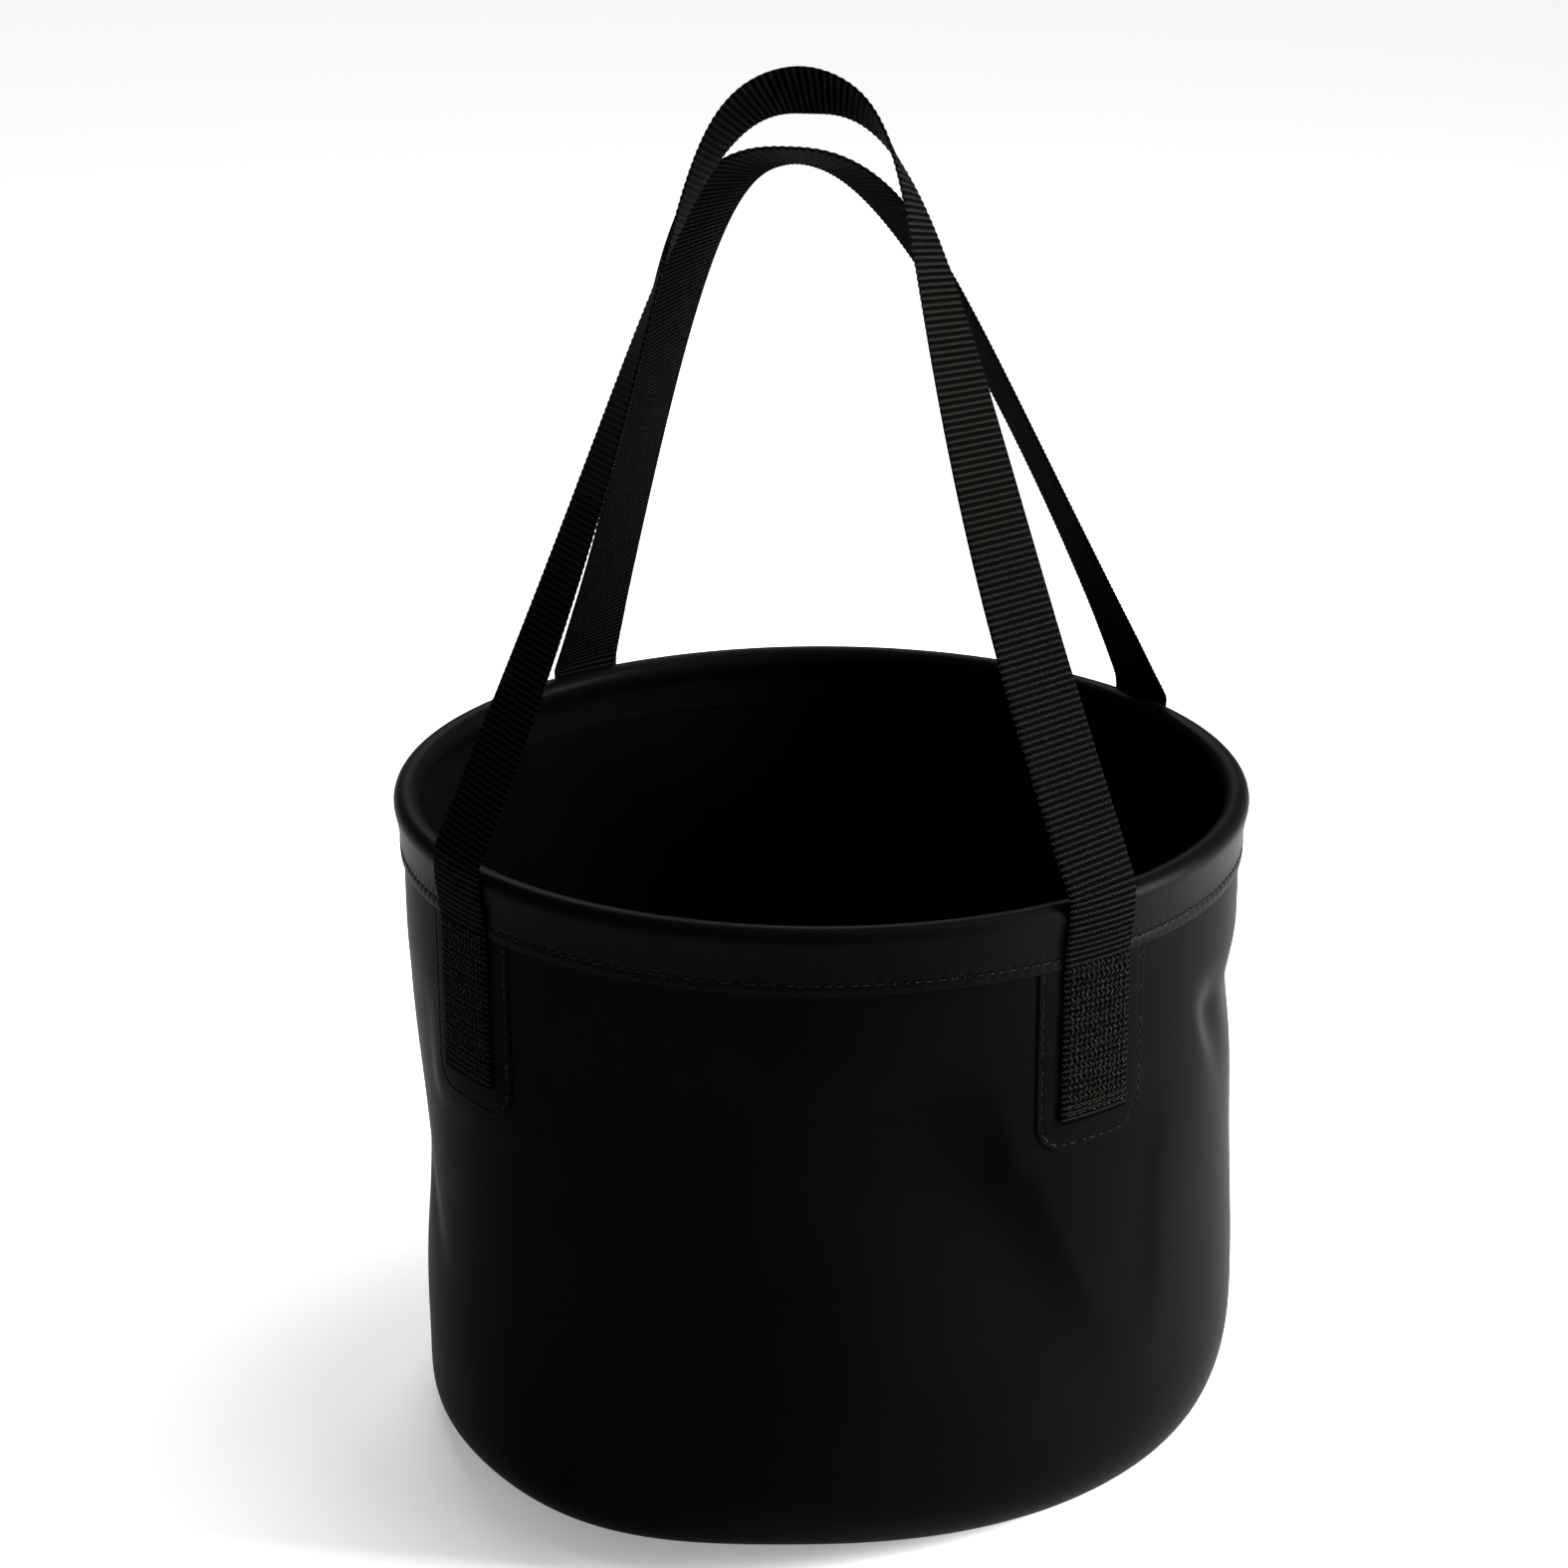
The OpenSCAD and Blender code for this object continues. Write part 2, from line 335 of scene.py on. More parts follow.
def thread():
    """Thread with a twisted bump, its colour painted paler where the twist stands up, as painted highlights.
    """
    material, nodes, links, shader = new_material("thread")
    twist = noise(nodes, links, 1100, 2)
    dark = (0.4, (0.0005, 0.0005, 0.0004))
    light = (0.7, (0.0240, 0.0218, 0.0190))
    # Painted highlights: the colour is paler where the twist's bump stands up
    links.new(colour_ramp(nodes, links, twist, dark, light), shader.inputs["Base Color"])
    shader.inputs["Roughness"].default_value = 0.5
    shader.inputs["Specular IOR Level"].default_value = 0.01
    bumps(nodes, links, shader, [(twist, 0.4, 0.0002)])
    return material


def hoop_plastic():
    """Dark plastic with slight scuffs."""
    material, nodes, links, shader = new_material("hoop_plastic")
    scuffs = noise(nodes, links, 60, 4)
    dark = (0.35, (0.010, 0.010, 0.010))
    light = (0.7, (0.016, 0.016, 0.016))
    links.new(colour_ramp(nodes, links, scuffs, dark, light), shader.inputs["Base Color"])
    links.new(mapped(nodes, links, scuffs, 0.35, 0.5), shader.inputs["Roughness"])
    return material


def floor_material():
    """A pale floor that glows a little, so that the bucket's shadow stays faint."""
    material, _, _, shader = new_material("pale_floor")
    shader.inputs["Base Color"].default_value = (0.86, 0.86, 0.86, 1)
    shader.inputs["Roughness"].default_value = 0.9
    shader.inputs["Specular IOR Level"].default_value = 0.1
    shader.inputs["Emission Color"].default_value = (1, 1, 1, 1)
    shader.inputs["Emission Strength"].default_value = 0.31
    return material


FABRIC = coated_fabric("coated_fabric", 1.0, 0.004, 0.42)
# The hem's copy of the fabric is glossier, and its colour is painted a little lighter as a painted highlight
# on the rim
HEM_FABRIC = coated_fabric("hem_coated_fabric_painted_lighter", 1.05, 0.010, 0.40)
WEBBING = webbing()
THREAD = thread()


# ---------- the soft body ----------

COLUMNS = 360
BODY_R = WALL_R - 0.0002
THETA = np.linspace(0, 2 * math.pi, COLUMNS, endpoint=False)
# Faint ripples round the wall: turns, rise, phase and height
RIPPLES = [
    (rng.integers(2, 9), rng.uniform(8, 45), rng.uniform(0, 2 * math.pi), rng.uniform(0.06, 0.16) * 1e-3)
    for _ in range(9)
]
# Bulges and dents of the wall: push outwards, level and its spread (metres), angle and its spread (degrees)
BULGES = [
    (0.0033, 0.050, 0.060, RIGHT, 30),
    (-0.0034, 0.186, 0.024, RIGHT - 4, 19),
    (-0.0062, 0.112, 0.052, LEFT, 29),
    (-0.0030, 0.020, 0.040, LEFT, 40),
    (0.0070, 0.015, 0.045, FACING - 31, 21),
    (0.0018, 0.150, 0.055, FACING - 12, 7),
    (-0.0034, 0.120, 0.050, BEHIND - 14, 17),
    (0.0010, 0.090, 0.050, BEHIND + 14, 12),
]
CREASE_TOP = 0.2285


def bulge(theta, z, push, level, level_spread, degrees, spread):
    """One soft bulge of the wall, or a dent where push is negative."""
    return push * near_level(z, level, level_spread) * near_angle(theta, degrees, spread)


def crease(theta, z):
    """A slanting crease below the front of the hem, hollow on its left and full on its right."""
    middle = FACING + 13 + 175 * (CREASE_TOP - z)
    apart = angle_from(theta, middle) / math.radians(9)
    fold = (2 * apart / (1 + apart**2) - 0.4) * np.exp(-((apart / 6) ** 2))
    return 0.0052 * fold * near_level(z, 0.145, 0.060)


def dents(theta, z):
    """How far the soft wall stands out of its plain round, in metres."""
    push = crease(theta, z)
    for values in BULGES:
        push = push + bulge(theta, z, *values)
    # A short slanting pinch under the hem on the right, with a fuller edge, and a small one on the left
    pinch = RIGHT - 24 + 160 * (0.19 - z)
    push = push + bulge(theta, z, -0.0034, 0.190, 0.022, pinch, 4.5)
    push = push + bulge(theta, z, 0.0010, 0.180, 0.026, pinch - 9, 6.0)
    nick = LEFT + 16 + 300 * (0.10 - z)
    push = push + bulge(theta, z, -0.0012, 0.100, 0.018, nick, 5.0)
    for turns, rise, phase, height in RIPPLES:
        push = push + height * np.sin(turns * theta + rise * z + phase)
    # The patches hold the wall under them flat, and above its foot it doesn't stand out where they come down
    for degrees in CORNERS.values():
        near = ease(np.abs(angle_from(theta, degrees)), math.radians(15), math.radians(9.5))
        push = push - near * ease(z, 0.060, 0.100) * np.maximum(push, 0)
        push = push * (1 - near * ease(z, PATCH_FOOT - 0.016, PATCH_FOOT + 0.003))
    # The wall doesn't stand out near the hem, and under the hem it is round
    push = np.where(push > 0, push * ease(z, 0.190, 0.150), push)
    return push * ease(z, 0.212, 0.186)


def corner_size(theta):
    """Height, depth and squareness of the soft bottom corner, which differ from side to side.

    A separate program fitted the first three rows to the photo's outline. The one behind is a guess.
    """
    sides = [
        (LEFT, 0.024, 0.016, 3.0),
        (FACING, 0.036, 0.036, 1.95),
        (RIGHT, 0.050, 0.028, 2.7),
        (BEHIND, 0.040, 0.026, 2.5),
    ]
    shares = [np.clip(np.cos(theta - math.radians(side[0])), 0, 1) ** 2 for side in sides]
    return tuple(sum(share * side[k] for share, side in zip(shares, sides)) for k in (1, 2, 3))


def body_surface(theta, z):
    """The wall's outer surface at a height above the base."""
    height, depth, square = corner_size(theta)
    left = np.clip(1 - z / height, 0, 1)
    inset = depth * (1 - (1 - left**square) ** (1 / square))
    return ring_points(BODY_R + dents(theta, z) - inset, theta, z)


def make_wall():
    levels = WALL_FOOT + (WALL_TOP - WALL_FOOT) * np.linspace(0, 1, 118)
    outer = body_surface(THETA[None, :], levels[:, None])
    inner = outer - surface_normals(outer, True) * SHEET
    inner[..., 2] = outer[..., 2]
    wall = new_piece("wall", [outer, inner], sheet_faces(len(levels), COLUMNS, True), FABRIC)
    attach(wall, "base")
    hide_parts("wall_panel")
    return wall


def make_base():
    """The base: its flat, its soft corner, and the fabric's thickness. It meets the wall edge to edge."""
    share = np.linspace(0, 1, 45)[1:, None]
    corner = body_surface(THETA[None, :], WALL_FOOT * share**2)
    edge = BODY_R + dents(THETA, np.zeros(COLUMNS)) - corner_size(THETA)[1]
    steps = np.linspace(0.02, 1, 30)[:, None]
    ripple = 0.0005 * (1 + np.sin(3 * THETA[None, :] + 21 * steps) * np.sin(13 * steps)) * ease(steps, 1, 0.9)
    flat = ring_points(edge[None, :] * steps, THETA[None, :], ripple)
    outer = np.concatenate([flat, corner])
    inner = outer - surface_normals(outer, True) * SHEET
    inner[-1, :, 2] = outer[-1, :, 2]
    rows = len(outer)
    faces = sheet_faces(rows, COLUMNS, True).tolist()
    ring = [f for f in faces if not all(k % (rows * COLUMNS) < COLUMNS for k in f)]
    centre = 2 * rows * COLUMNS
    fans = [[k, (k + 1) % COLUMNS, centre] for k in range(COLUMNS)]
    fans += [[rows * COLUMNS + k, rows * COLUMNS + (k + 1) % COLUMNS, centre + 1] for k in range(COLUMNS)]
    middle = [[0, 0, outer[0, 0, 2]], [0, 0, outer[0, 0, 2] + SHEET]]
    points = np.concatenate([outer.reshape(-1, 3), inner.reshape(-1, 3), middle])
    base = new_piece("base", points, ring + fans, FABRIC)
    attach(base, "base")
    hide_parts("base_panel")
    return base


# ---------- the hem ----------

STITCH_LEVEL = HEM_FOOT + 0.004
STITCH_COUNT = round(2 * math.pi * FLAP_R / STITCH)


def hem_profile():
    """The fabric's outer side as [radius, height]: up the outer flap, over the bead, down the inner flap."""
    points = [[FLAP_R - 0.0001, HEM_FOOT], [FLAP_R, HEM_FOOT + 0.0006]]
    points += [[FLAP_R, STITCH_LEVEL - 0.0018], [FLAP_R - 0.0001, STITCH_LEVEL - 0.0010]]
    points += [[FLAP_R - 0.00045, STITCH_LEVEL - 0.0003], [FLAP_R - 0.00045, STITCH_LEVEL + 0.0003]]
    points += [[FLAP_R - 0.0001, STITCH_LEVEL + 0.0010]]
    start = math.radians(-14)
    bead_foot = np.array([BEAD_RING_R + BEAD_R * math.cos(start), BEAD_Z + BEAD_R * math.sin(start)])
    for share in np.linspace(0, 1, 12)[:-1]:
        low = STITCH_LEVEL + 0.0020
        points.append([FLAP_R + (bead_foot[0] - FLAP_R) * share**1.6, low + (bead_foot[1] - low) * share])
    for a in np.radians(np.linspace(-14, 212, 24)):
        points.append([BEAD_RING_R + BEAD_R * math.cos(a), BEAD_Z + BEAD_R * math.sin(a)])
    points += [[BEAD_RING_R - 0.0028, BEAD_Z - 0.0046], [BEAD_RING_R - 0.0012, BEAD_Z - 0.0066]]
    points += [[FLAP_IN_R - 0.0002, BEAD_Z - 0.0090]]
    points += [[FLAP_IN_R, z] for z in np.linspace(BEAD_Z - 0.0115, STITCH_LEVEL + 0.0012, 3)]
    points += [[FLAP_IN_R + 0.0001, STITCH_LEVEL], [FLAP_IN_R, STITCH_LEVEL - 0.0012], [FLAP_IN_R, HEM_FOOT]]
    return np.array(points)


def make_hem():
    profile = hem_profile()
    along = unit(np.gradient(profile, axis=0))
    inward = np.stack([-along[:, 1], along[:, 0]], -1)
    loop = np.concatenate([profile, (profile + inward * SHEET)[::-1]])
    theta = np.linspace(0, 2 * math.pi, STITCH_COUNT * 4, endpoint=False)
    near_row = near_level(loop[:, 1], STITCH_LEVEL, 0.0028)[:, None] * (loop[:, 0] > WALL_R)[:, None]
    pucker = 0.00018 * near_row * np.cos(STITCH_COUNT * theta)[None, :]
    soft = sum(
        size * np.sin(turns * theta + phase)
        for turns, size, phase in ((5, 0.00012, 0.4), (11, 0.00008, 2.1), (23, 0.00005, 4.0))
    )
    high = ease(loop[:, 1], HEM_FOOT, RIM_TOP)[:, None]
    radius = loop[:, 0][:, None] + pucker + soft[None, :] * (1 - high) * 0.5
    z = loop[:, 1][:, None] + soft[None, :] * (1 - high)
    points = ring_points(radius, theta[None, :], z)
    faces = grid_faces(len(loop), len(theta), wrap_rows=True, wrap_cols=True)
    hem = new_piece("hem", points, faces, HEM_FABRIC)
    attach(hem, "rim")
    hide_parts("rim_hem")
    return hem


# ---------- stitches ----------


def stitch_points(middle, along, up, length, thick):
    """One stitch: a short thread that dips into the sheet at both ends."""
    rings, around = 7, 6
    t = np.linspace(-1, 1, rings)
    swell = np.sqrt(np.clip(1 - (t * 0.96) ** 4, 0.02, 1))
    rise = thick * (0.55 - 0.55 * t**4)
    side = np.cross(along, up)
    angle = np.linspace(0, 2 * math.pi, around, endpoint=False)
    line = middle + along * (t * length / 2)[:, None] + up * rise[:, None]
    circle = side * np.cos(angle)[:, None] + up * np.sin(angle)[:, None]
    return line[:, None, :] + circle[None, :, :] * (swell * thick)[:, None, None]


def stitches(name, rows, nodes_replaced, body, length=0.0034, thick=0.00032):
    """One piece of thread from rows of (middles, alongs, ups)."""
    points, faces, count = [], [], 0
    tube = grid_faces(7, 6, wrap_cols=True)
    caps = [list(range(5, -1, -1)), list(range(36, 42))]
    for middles, alongs, ups in rows:
        for middle, along, up in zip(middles, alongs, ups):
            points.append(stitch_points(middle, along, up, length, thick).reshape(-1, 3))
            faces += (tube + count).tolist() + [[k + count for k in cap] for cap in caps]
            count += 42
    piece = new_piece(name, np.concatenate(points), faces, THREAD, 60)
    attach(piece, body)
    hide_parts(*nodes_replaced)
    return piece


def make_hem_stitches():
    theta = (np.arange(STITCH_COUNT) + 0.5) * 2 * math.pi / STITCH_COUNT
    under_strap = (WEB_W / 2 + 0.001) / FLAP_R
    centres = np.radians(list(CORNERS.values()))
    apart = np.abs((theta[:, None] - centres[None, :] + math.pi) % (2 * math.pi) - math.pi)
    theta = theta[apart.min(1) > under_strap]
    middles = ring_points(FLAP_R - 0.0002, theta, STITCH_LEVEL)
    ups = ring_points(1.0, theta, 0.0)
    alongs = ring_points(1.0, theta + math.pi / 2, 0.0)
    return stitches("hem_stitches", [(middles, alongs, ups)], ["hem_stitching"], "rim")


# ---------- patches ----------


def patch_path(inset, spacing):
    """Points along a patch's U, [sideways, height], from its top left round the bottom to its top right."""
    half, radius = PATCH_W / 2 - inset, PATCH_CORNER_R - inset
    low, top = PATCH_FOOT + inset, HEM_FOOT - 0.0002
    arc = np.radians(np.linspace(180, 270, 12))
    left = np.stack([-half + radius + radius * np.cos(arc), low + radius + radius * np.sin(arc)], -1)
    right = left[::-1] * [-1, 1]
    corners = np.concatenate([[[-half, top]], left, right, [[half, top]]])
    steps = np.append(0, np.cumsum(np.linalg.norm(np.diff(corners, axis=0), axis=1)))
    at = np.linspace(0, steps[-1], max(2, round(steps[-1] / spacing) + 1))
    return np.stack([np.interp(at, steps, corners[:, k]) for k in (0, 1)], -1)


def on_wall(flat, radius, degrees):
    """Points [sideways, height] laid on the round of the wall."""
    return ring_points(radius, math.radians(degrees) + flat[..., 0] / FLAP_R, flat[..., 1])


def make_patch(corner, degrees):
    """A thin plate whose edge rolls down to the wall, built as rings that shrink to its middle line."""
    insets = [0, 0.0002, 0.0005, 0.0009, 0.0014, 0.0019, 0.0024, 0.0032, 0.005, 0.008, 0.0118]
    heights = [0.15, 0.42, 0.56, 0.60, 0.50, 0.28, 0.50, 0.62, 0.64, 0.64, 0.64]
    outline = patch_path(0, 0.002)
    top = outline[0, 1]
    rings = []
    for inset in insets:
        ring = patch_path(min(inset, PATCH_CORNER_R - 0.0002), 0.002)
        at = np.linspace(0, 1, len(outline))
        ring = np.stack([np.interp(at, np.linspace(0, 1, len(ring)), ring[:, k]) for k in (0, 1)], -1)
        rings.append(ring)
    flat = np.array(rings)
    middle = flat[-1] * [0, 1]
    middle[:, 1] = np.clip(middle[:, 1], PATCH_FOOT + PATCH_W / 2, top)
    flat = np.concatenate([flat, [middle]])
    heights = np.array(heights + [0.64])
    base_r = WALL_R + 0.0001
    front = on_wall(flat, base_r + (FLAP_R - base_r) * heights[:, None], degrees)
    back = on_wall(flat, base_r, degrees)
    rows, cols = flat.shape[:2]
    faces = sheet_faces(rows, cols, False)
    patch = new_piece(corner + "_patch_plate", [front, back], faces, FABRIC, 50)
    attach(patch, "rim")
    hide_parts(corner + "_patch")
    return patch


def make_patch_stitches(corner, degrees):
    path = patch_path(0.0019, STITCH)
    spots = (path[1:] + path[:-1]) / 2
    spots_at = on_wall(spots, WALL_R + 0.0005, degrees)
    ends = on_wall(path, WALL_R + 0.0005, degrees)
    alongs = unit(ends[1:] - ends[:-1])
    ups = unit(spots_at * [1, 1, 0])
    name = corner + "_patch_stitches"
    return stitches(name, [(spots_at, alongs, ups)], [corner + "_patch_stitching"], "rim", 0.0032, 0.00026)


# ---------- straps ----------


def across(v, along):
    return unit(v - along * np.sum(v * along, -1, keepdims=True))


def loop_line(
    facing, rise, lean, crown, leg_in, leg_rise, sway, turn, roll, left_twist, right_twist, samples=601
):
    """A loop's middle line and the direction of its width, from its left fold to its right one."""
    half_chord = STRAP_TOP_R * math.sin(math.radians(STRAP_ANGLE))
    start = np.array([0, facing * STRAP_TOP_R * math.cos(math.radians(STRAP_ANGLE)), LOOP_FOOT])
    tilt = math.radians(lean)
    up = np.array([0, -facing * math.sin(tilt), math.cos(tilt)])
    depth = np.array([0, facing * math.cos(tilt), math.sin(tilt)])
    s = np.linspace(-1, 1, samples)
    t = (1 - np.abs(s))[:, None]
    shoulder = [half_chord * (1 - leg_in), rise * leg_rise]
    corners = np.array([[half_chord, 0], shoulder, [crown, rise], [0, rise]])
    half = (1 - t) ** 3 * corners[0] + 3 * (1 - t) ** 2 * t * corners[1]
    half = half + 3 * (1 - t) * t**2 * corners[2] + t**3 * corners[3]
    sideways = np.where(s < 0, -1, 1) * half[:, 0] + sway * (half[:, 1] / rise) ** 2
    line = start + sideways[:, None] * np.array([1, 0, 0]) + half[:, 1][:, None] * up
    along = unit(np.gradient(line, axis=0))
    flat = across(np.broadcast_to(depth, line.shape), along)
    ends = {}
    for k, side in ((0, -1), (-1, 1)):
        rim_way = np.cross([0, 0, 1], outward(facing * 90 - facing * STRAP_ANGLE * side))
        wanted = across(rim_way, along[k])
        angle = math.atan2(wanted @ np.cross(along[k], flat[k]), wanted @ flat[k])
        ends[side] = angle - math.pi * round(angle / math.pi)
    at_fold = np.where(s < 0, ends[-1], ends[1])
    angle = at_fold * (1 - (1 - np.abs(s)) ** turn) + math.radians(roll) * (1 - s * s) ** 2
    angle = angle + np.radians(np.where(s < 0, left_twist, right_twist)) * 4 * s * s * (1 - s * s)
    wide = flat * np.cos(angle)[:, None] + np.cross(along, flat) * np.sin(angle)[:, None]
    return line, wide


def sewn_line(degrees, samples=120):
    """The middle line of a sewn strap end, from its foot up to the fold."""
    z = np.linspace(STRAP_FOOT, LOOP_FOOT, samples)[:-1]
    radius = STRAP_SEAT_R + (STRAP_TOP_R - STRAP_SEAT_R) * ease(z, BEAD_Z - 0.019, BEAD_Z - 0.0035)
    return outward(degrees) * radius[:, None] + np.array([0, 0, 1]) * z[:, None]


def smoothed(values, reach):
    """A running mean over reach samples each way, with the ends carried on straight."""
    kernel = np.hanning(2 * reach + 3)[1:-1]
    kernel /= kernel.sum()
    before = 2 * values[0] - values[reach:0:-1]
    after = 2 * values[-1] - values[-2 : -reach - 2 : -1]
    padded = np.concatenate([before, values, after])
    return np.stack([np.convolve(padded[:, k], kernel, "valid") for k in range(3)], -1)


def make_strap(name, loop, left, right, nodes_replaced):
    """One length of ribbed webbing, from one sewn end over the loop to the other."""
    line, wide = loop_line(**loop)
    parts, ways = [], []
    for degrees, end in ((CORNERS[left], 0), (CORNERS[right], -1)):
        sewn = sewn_line(degrees)
        way = np.cross([0, 0, 1], outward(degrees))
        way = way * np.sign(way @ wide[end])
        parts.append(sewn)
        ways.append(np.broadcast_to(way, sewn.shape))
    line = np.concatenate([parts[0], line, parts[1][::-1]])
    wide = np.concatenate([ways[0], wide, ways[1]])
    steps = np.append(0, np.cumsum(np.linalg.norm(np.diff(line, axis=0), axis=1)))
    length = steps[-1]
    ribs = round(length / RIB)
    at = np.linspace(0, length, ribs * 4 + 1)
    line = np.stack([np.interp(at, steps, line[:, k]) for k in range(3)], -1)
    wide = np.stack([np.interp(at, steps, wide[:, k]) for k in range(3)], -1)
    line, wide = smoothed(line, 9), smoothed(wide, 14)
    along = unit(np.gradient(line, axis=0))
    wide = across(wide, along)
    thin = np.cross(along, wide)
    # Near a sewn end the webbing is cupped round the wall, and its ribs are pressed flatter by the stitches
    sewn_length = LOOP_FOOT - STRAP_FOOT
    from_end = np.minimum(at, length - at)
    cup = ease(from_end, sewn_length + 0.045, sewn_length - 0.010)
    to_wall = np.sign(np.sum(thin * -unit(line * [1, 1, 0]), -1))
    pressed = 1 - 0.55 * ease(from_end, sewn_length - 0.022, sewn_length - 0.034)
    count = 23
    x = -np.cos(np.linspace(0, math.pi, count)) * 0.35 + np.linspace(-1, 1, count) * 0.65
    edge = np.sqrt(np.clip(1 - np.abs(x) ** 14, 0, 1))
    selvage = 0.00012 * np.exp(-(((np.abs(x) - 0.93) / 0.03) ** 2))
    wave = np.cos(2 * math.pi * at / RIB)
    ribbed = 0.00021 * wave * pressed
    height = (WEB_T / 2 - 0.00021) * edge + selvage
    faces_height = height[None, :] + ribbed[:, None] * edge[None, :] * (np.abs(x) < 0.97)[None, :]
    ring_x = np.concatenate([x, x[-2:0:-1]])
    back_height = height[None, :] - ribbed[:, None] * edge[None, :] * (np.abs(x) < 0.97)[None, :]
    heights = np.concatenate([faces_height, -back_height[:, -2:0:-1]], 1)
    cupped = (ring_x * WEB_W / 2) ** 2 / (2 * STRAP_SEAT_R)
    points = (
        line[:, None, :]
        + wide[:, None, :] * (ring_x * WEB_W / 2)[None, :, None]
        + thin[:, None, :] * (heights + cupped[None, :] * (cup * to_wall)[:, None])[..., None]
    )
    rows, cols = points.shape[:2]
    faces = grid_faces(rows, cols, wrap_cols=True).tolist()
    faces += [list(range(cols - 1, -1, -1)), list(range((rows - 1) * cols, rows * cols))]
    strap = new_piece(name, points, faces, WEBBING, 55)
    uv = strap.data.uv_layers.new(name="webbing_map")
    corners = np.zeros(len(strap.data.loops), int)
    strap.data.loops.foreach_get("vertex_index", corners)
    places = np.stack([np.repeat(at, cols), np.tile((ring_x + 1) * WEB_W / 2, rows)], -1)[corners]
    uv.data.foreach_set("uv", places.astype(np.float32).ravel())
    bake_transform(strap)
    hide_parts(*nodes_replaced)
    return strap


def make_strap_stitches(corner, degrees):
    """Close rows of stitches over a strap end: two level rows at its foot, then rows that lean to and fro."""
    half, low, high = WEB_W / 2 - 0.0032, STRAP_FOOT + 0.0035, HEM_FOOT + 0.002
    rows = [(low, 0.0), (low + RIB, 0.0)]
    fill = np.arange(low + 2 * RIB, high, RIB * 0.8)
    rows += [(z, 0.0013 * (-1) ** k) for k, z in enumerate(fill)]
    spots = np.linspace(-half, half, 12)
    outside = FLAP_R + 0.0001 + WEB_T - 0.0001
    placed = []
    for z, lean in rows:
        jitter = rng.uniform(-0.00025, 0.00025, (len(spots), 2))
        middle = np.stack([spots, np.full(len(spots), z)], -1) + jitter
        reach = np.array([0.0011, lean])
        tips = [on_wall(middle + way * reach / 2, outside, degrees) for way in (-1, 1)]
        at = on_wall(middle, outside, degrees)
        placed.append((at, unit(tips[1] - tips[0]), unit(at * [1, 1, 0])))
    name = corner + "_strap_stitches"
    return stitches(name, placed, [corner + "_strap_stitching"], "rim", 0.0021, 0.00027)


# ---------- floor, lights and camera ----------

CAMERA_ELEVATION = 19.6
CAMERA_DISTANCE = 1.4


def make_floor():
    mesh = bpy.data.meshes.new("floor")
    reach = 60
    corners = [(-reach, -reach, 0), (reach, -reach, 0), (reach, reach, 0), (-reach, reach, 0)]
    mesh.from_pydata(corners, [], [(0, 1, 2, 3)])
    mesh.materials.append(floor_material())
    floor = bpy.data.objects.new("floor", mesh)
    bpy.context.scene.collection.objects.link(floor)
    floor.location.z = -0.0002


def add_area_light(name, azimuth, elevation, distance, size, power, target=(0, 0, 0.2)):
    """A soft light that looks at a point, from an azimuth about +Z and an elevation, both in degrees."""
    lamp = bpy.data.lights.new(name, "AREA")
    lamp.shape = "RECTANGLE"
    lamp.size, lamp.size_y = size
    lamp.energy = power
    light = bpy.data.objects.new(name, lamp)
    bpy.context.scene.collection.objects.link(light)
    a, e = math.radians(azimuth), math.radians(elevation)
    away = np.array([math.cos(e) * math.cos(a), math.cos(e) * math.sin(a), math.sin(e)])
    light.location = np.array(target) + away * distance
    light.rotation_euler = (light.location - Vector(target)).to_track_quat("Z", "Y").to_euler()


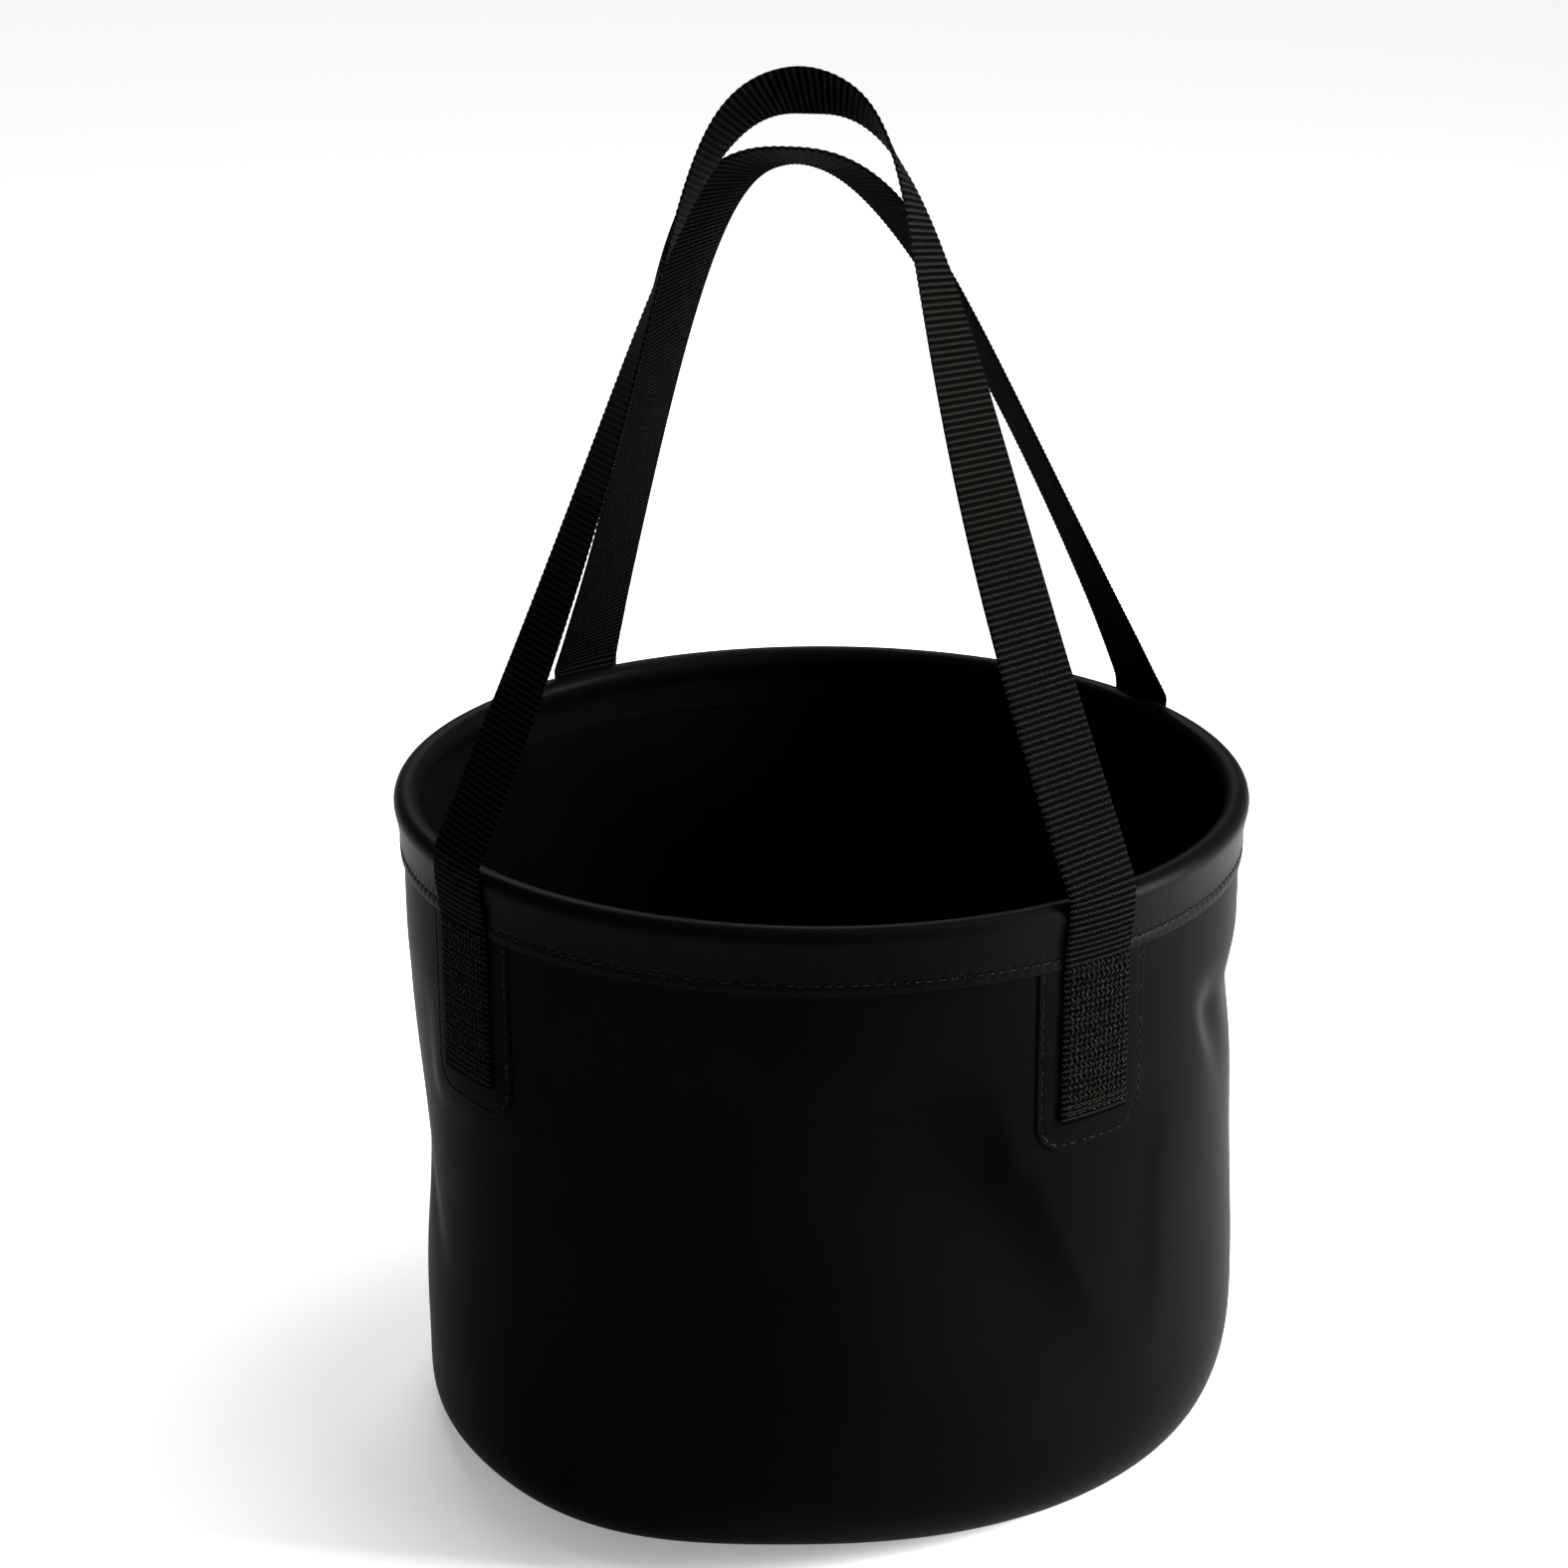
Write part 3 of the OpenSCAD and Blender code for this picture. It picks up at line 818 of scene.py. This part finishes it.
def make_lights():
    sun = bpy.data.lights.new("soft_sun", "SUN")
    sun.energy = 1.6
    sun.angle = math.radians(34)
    light = bpy.data.objects.new("soft_sun", sun)
    bpy.context.scene.collection.objects.link(light)
    a, e = math.radians(RIGHT + 10), math.radians(66)
    light.location = (math.cos(e) * math.cos(a), math.cos(e) * math.sin(a), math.sin(e))
    light.rotation_euler = light.location.to_track_quat("Z", "Y").to_euler()
    add_area_light("key", RIGHT - 4, 15, 1.7, (0.6, 1.1), 150)
    add_area_light("back_fill", RIGHT + 98, 42, 1.8, (1.2, 0.8), 22)
    world = bpy.data.worlds.new("studio")
    world.use_nodes = True
    world.node_tree.nodes["Background"].inputs["Color"].default_value = (1, 1, 1, 1)
    world.node_tree.nodes["Background"].inputs["Strength"].default_value = 0.22
    bpy.context.scene.world = world
    bpy.context.scene.view_settings.view_transform = "Standard"


def make_camera():
    """The camera aims at the rim's middle. Its shifts put that right of and above the picture's middle.

    A separate program fitted the elevation, the lens and the shifts to the rim's outline in the photo.
    """
    a, e = math.radians(VIEW_AZIMUTH), math.radians(CAMERA_ELEVATION)
    back = np.array([math.sin(a) * math.cos(e), -math.cos(a) * math.cos(e), math.sin(e)])
    data = bpy.data.cameras.new("camera")
    data.sensor_width = 36
    data.lens = 83.0
    data.shift_x, data.shift_y = -0.0239, -0.0079
    camera = bpy.data.objects.new("camera", data)
    bpy.context.scene.collection.objects.link(camera)
    camera.location = np.array([0, 0, RIM_TOP]) + back * CAMERA_DISTANCE
    camera.rotation_euler = type(camera.location)(back).to_track_quat("Z", "Y").to_euler()
    bpy.context.scene.camera = camera


# ---------- the bucket ----------

make_camera()
make_lights()
make_floor()
wall = make_wall()
base = make_base()
make_hem()
make_hem_stitches()
for corner, degrees in CORNERS.items():
    make_patch(corner, degrees)
    make_patch_stitches(corner, degrees)
    make_strap_stitches(corner, degrees)
make_strap(
    "front_strap", FRONT_LOOP, "front_left", "front_right",
    ["front_handle", "front_left_strap_end", "front_right_strap_end"],
)
make_strap(
    "rear_strap", REAR_LOOP, "rear_left", "rear_right",
    ["rear_handle", "rear_left_strap_end", "rear_right_strap_end"],
)
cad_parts["rim_hoop"].data.materials.clear()
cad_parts["rim_hoop"].data.materials.append(hoop_plastic())

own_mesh(wall)
